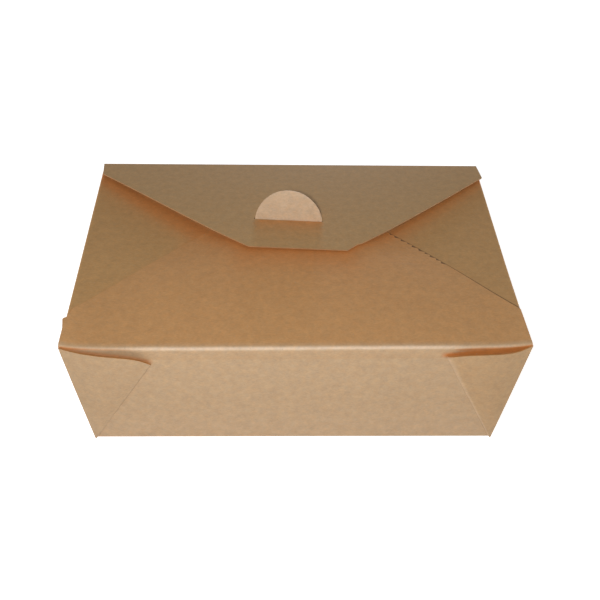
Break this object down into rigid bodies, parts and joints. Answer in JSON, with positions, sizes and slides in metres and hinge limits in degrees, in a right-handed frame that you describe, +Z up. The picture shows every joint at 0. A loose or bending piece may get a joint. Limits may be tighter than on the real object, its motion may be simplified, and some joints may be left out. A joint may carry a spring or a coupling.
{
  "type": "takeaway box",
  "caption": "Closed kraft board food carton: tapered tray with webbed corners, crossed top flaps, and a half-moon tongue through a slot in the hinged lid flap.",
  "frame": {"origin": "middle of the base's underside", "axes": "+X along the long side, to the right seen from the front; -Y towards the front wall, whose flap carries the tongue; +Z up"},
  "size_m": [0.214, 0.165, 0.0862],
  "materials": {
    "kraft_board": "plain brown kraft board, matt, with fine fibre"
  },
  "bodies": {
    "box": {"box_body": "kraft_board"},
    "lid": {"lid_flap": "kraft_board"}
  },
  "joints": [
    {"name": "lid_crease", "type": "hinge", "parent": "box", "child": "lid", "pos_m": [0, 0.0785, 0.068], "axis": [-1, 0, 0], "range_deg": [0, 180]}
  ]
}
